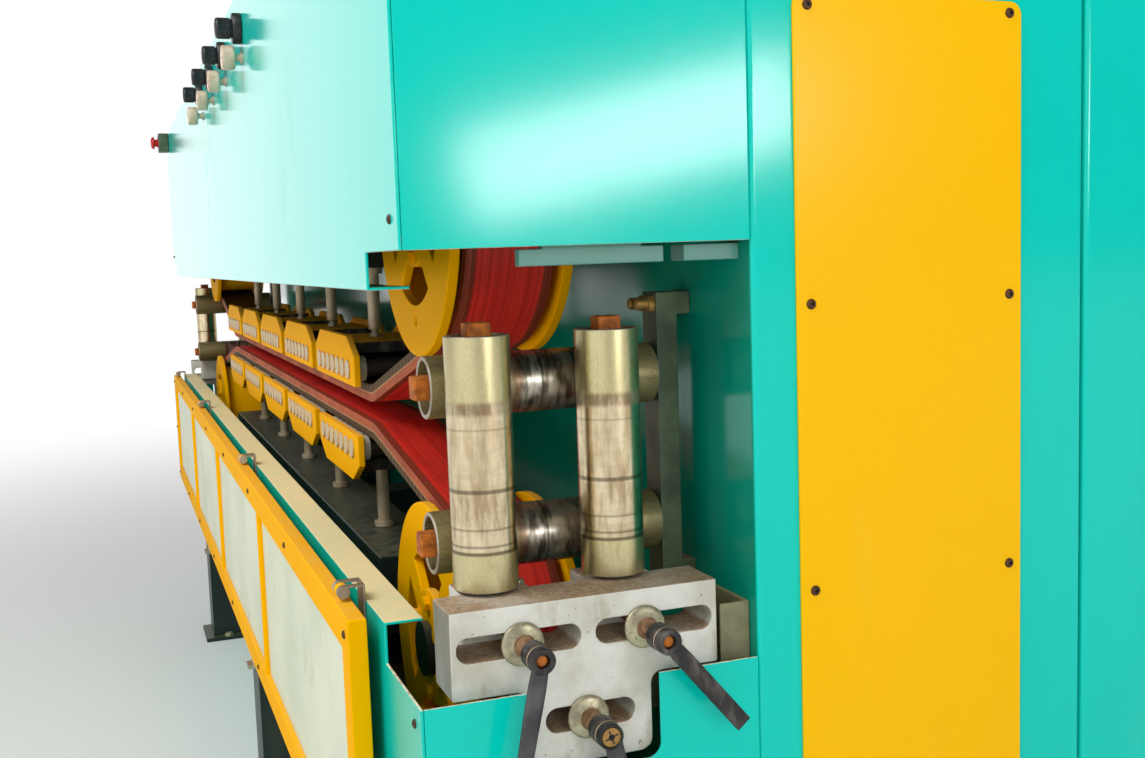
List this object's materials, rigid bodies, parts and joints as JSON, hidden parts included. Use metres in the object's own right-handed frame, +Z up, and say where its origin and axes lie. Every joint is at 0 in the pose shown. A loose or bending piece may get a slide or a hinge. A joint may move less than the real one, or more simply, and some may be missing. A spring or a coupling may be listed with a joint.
{
  "type": "belt haul-off machine for drawing stranded cable",
  "caption": "Floor-standing belt haul-off: a cabinet with hood and tray carries two facing belts on drums and sprung rollers, a roller guide stand at each end and a hinged guard.",
  "frame": {"origin": "on the floor, at the middle of the machine's outline in plan", "axes": "+X along the cable's path towards the outlet end, -Y towards the operator, +Z up"},
  "size_m": [3.5896, 1.208, 1.65],
  "materials": {
    "teal_paint": "glossy orange-peel enamel",
    "yellow_paint": "glossy enamel",
    "dark_paint": "satin dark green",
    "grey_paint": "satin grey-green",
    "black_paint": "satin black, worn",
    "cream_sheet": "pale satin sheet",
    "red_rubber": "worn red cover with brown edges",
    "zinc_steel": "zinc plate with rust spots",
    "roller_steel": "turned tube with worn bands",
    "rusty_steel": "light rust",
    "pale_casting": "pale paint with brown dust",
    "gauge_brass": "satin",
    "black_plastic": "matt",
    "red_plastic": "gloss"
  },
  "bodies": {
    "machine": {"base_frame": "dark_paint", "cabinet_front": "teal_paint", "cabinet_rear": "teal_paint", "rear_panels": "teal_paint", "cover_plates": "yellow_paint", "hood_front": "teal_paint", "hood_ends": "teal_paint", "hood_top": "teal_paint", "hood_lips": "teal_paint", "tray_front": "teal_paint", "tray_ends": "teal_paint", "tray_floor": "teal_paint", "guard_hinges": "zinc_steel", "upper_belt": "red_rubber", "lower_belt": "red_rubber", "drum_shafts": "dark_paint", "press_carriers": "yellow_paint", "press_rollers": "zinc_steel", "press_rods": "zinc_steel", "press_cylinders": "zinc_steel", "press_beams": "dark_paint", "regulator_knobs": "black_plastic", "pressure_gauges": "gauge_brass", "stop_button": "red_plastic", "guide_plates": "pale_casting", "plate_mounts": "grey_paint", "roller_brackets": "grey_paint", "level_axles": "rusty_steel", "lower_collars": "zinc_steel", "inlet_carriages": "pale_casting", "inlet_levers": "black_paint"},
    "guard": {"guard_frame": "yellow_paint", "guard_panels": "cream_sheet", "guard_latches": "zinc_steel"},
    "outlet_upper_drum": {"outlet_upper_drum": "yellow_paint"},
    "outlet_lower_drum": {"outlet_lower_drum": "yellow_paint"},
    "inlet_upper_drum": {"inlet_upper_drum": "yellow_paint"},
    "inlet_lower_drum": {"inlet_lower_drum": "yellow_paint"},
    "outlet_left_carriage": {"outlet_left_carriage": "pale_casting"},
    "outlet_right_carriage": {"outlet_right_carriage": "pale_casting"},
    "outlet_left_roller": {"outlet_left_roller": "roller_steel"},
    "outlet_right_roller": {"outlet_right_roller": "roller_steel"},
    "outlet_top_roller": {"outlet_top_roller": "roller_steel"},
    "outlet_bottom_roller": {"outlet_bottom_roller": "roller_steel"},
    "inlet_left_roller": {"inlet_left_roller": "roller_steel"},
    "inlet_right_roller": {"inlet_right_roller": "roller_steel"},
    "inlet_top_roller": {"inlet_top_roller": "roller_steel"},
    "inlet_bottom_roller": {"inlet_bottom_roller": "roller_steel"},
    "outlet_left_lever": {"outlet_left_lever": "black_paint"},
    "outlet_right_lever": {"outlet_right_lever": "black_paint"},
    "outlet_lower_lever": {"outlet_lower_lever": "black_paint"}
  },
  "joints": [
    {"name": "guard_hinge", "type": "hinge", "parent": "machine", "child": "guard", "pos_m": [0, -0.571, 0.85], "axis": [-1, 0, 0], "range_deg": [0, 180]},
    {"name": "outlet_upper_drum_spin", "type": "hinge", "parent": "machine", "child": "outlet_upper_drum", "pos_m": [1.381, -0.378, 1.261], "axis": [0, 1, 0], "continuous": true},
    {"name": "outlet_lower_drum_spin", "type": "hinge", "parent": "machine", "child": "outlet_lower_drum", "pos_m": [1.381, -0.378, 0.735], "axis": [0, 1, 0], "continuous": true},
    {"name": "inlet_upper_drum_spin", "type": "hinge", "parent": "machine", "child": "inlet_upper_drum", "pos_m": [-1.381, -0.378, 1.261], "axis": [0, 1, 0], "continuous": true},
    {"name": "inlet_lower_drum_spin", "type": "hinge", "parent": "machine", "child": "inlet_lower_drum", "pos_m": [-1.381, -0.378, 0.735], "axis": [0, 1, 0], "continuous": true},
    {"name": "outlet_left_carriage_slide", "type": "slide", "parent": "machine", "child": "outlet_left_carriage", "axis": [0, 1, 0], "range_m": [-0.05, 0.03]},
    {"name": "outlet_right_carriage_slide", "type": "slide", "parent": "machine", "child": "outlet_right_carriage", "axis": [0, 1, 0], "range_m": [-0.03, 0.05]},
    {"name": "outlet_left_roller_spin", "type": "hinge", "parent": "outlet_left_carriage", "child": "outlet_left_roller", "pos_m": [1.667, -0.458, 1], "axis": [0, 0, 1], "continuous": true},
    {"name": "outlet_right_roller_spin", "type": "hinge", "parent": "outlet_right_carriage", "child": "outlet_right_roller", "pos_m": [1.667, -0.324, 1], "axis": [0, 0, 1], "continuous": true},
    {"name": "outlet_top_roller_spin", "type": "hinge", "parent": "machine", "child": "outlet_top_roller", "pos_m": [1.597, -0.378, 1.0715], "axis": [0, 1, 0], "continuous": true},
    {"name": "outlet_bottom_roller_spin", "type": "hinge", "parent": "machine", "child": "outlet_bottom_roller", "pos_m": [1.597, -0.378, 0.9125], "axis": [0, 1, 0], "continuous": true},
    {"name": "inlet_left_roller_spin", "type": "hinge", "parent": "machine", "child": "inlet_left_roller", "pos_m": [-1.667, -0.458, 1], "axis": [0, 0, 1], "continuous": true},
    {"name": "inlet_right_roller_spin", "type": "hinge", "parent": "machine", "child": "inlet_right_roller", "pos_m": [-1.667, -0.324, 1], "axis": [0, 0, 1], "continuous": true},
    {"name": "inlet_top_roller_spin", "type": "hinge", "parent": "machine", "child": "inlet_top_roller", "pos_m": [-1.597, -0.378, 1.0715], "axis": [0, 1, 0], "continuous": true},
    {"name": "inlet_bottom_roller_spin", "type": "hinge", "parent": "machine", "child": "inlet_bottom_roller", "pos_m": [-1.597, -0.378, 0.9125], "axis": [0, 1, 0], "continuous": true},
    {"name": "outlet_left_lever_turn", "type": "hinge", "parent": "outlet_left_carriage", "child": "outlet_left_lever", "pos_m": [1.78, -0.445, 0.84], "axis": [1, 0, 0], "range_deg": [-68, 12]},
    {"name": "outlet_right_lever_turn", "type": "hinge", "parent": "outlet_right_carriage", "child": "outlet_right_lever", "pos_m": [1.78, -0.321, 0.84], "axis": [1, 0, 0], "range_deg": [-20, 40]},
    {"name": "outlet_lower_lever_turn", "type": "hinge", "parent": "machine", "child": "outlet_lower_lever", "pos_m": [1.78, -0.382, 0.76], "axis": [1, 0, 0], "range_deg": [-20, 20]}
  ],
  "couplings": [
    {"joint": "inlet_upper_drum_spin", "follows": "outlet_upper_drum_spin", "ratio": 1},
    {"joint": "outlet_lower_drum_spin", "follows": "outlet_upper_drum_spin", "ratio": -1},
    {"joint": "inlet_lower_drum_spin", "follows": "outlet_upper_drum_spin", "ratio": -1}
  ]
}
